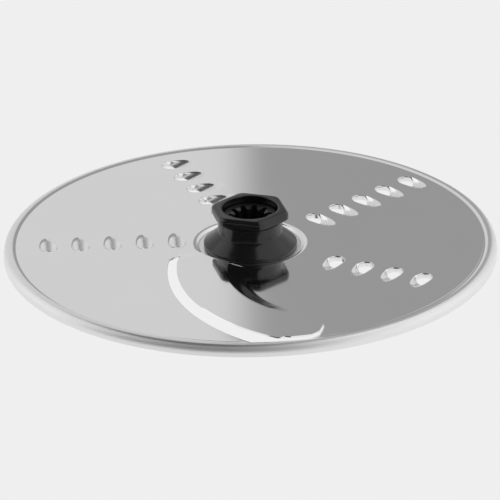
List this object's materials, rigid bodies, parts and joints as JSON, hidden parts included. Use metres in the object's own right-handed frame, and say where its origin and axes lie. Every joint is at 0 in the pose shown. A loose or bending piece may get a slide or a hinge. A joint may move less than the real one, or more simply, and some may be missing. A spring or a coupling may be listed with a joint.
{
  "type": "food processor slicing and shredding disc",
  "caption": "Reversible steel disc with a raised sickle slicing blade on one side, shredding teeth on the other, and a splined two-part finger-grip hub.",
  "frame": {"origin": "centre of the lower hub's end face, on the spin axis", "axes": "+Z along the spin axis towards the slicing side, -Y towards the blade tip's side of the disc"},
  "size_m": [0.1684, 0.1684, 0.0288],
  "materials": {
    "polished_steel": "polished, with a very fine grain",
    "hub_plastic": "satin gloss moulding",
    "sleeve_plastic": "glass-filled moulding, fine matt"
  },
  "bodies": {
    "root": {"cutting_disc": "polished_steel", "upper_hub": "hub_plastic", "lower_hub": "hub_plastic", "drive_sleeve": "sleeve_plastic"}
  },
  "joints": []
}
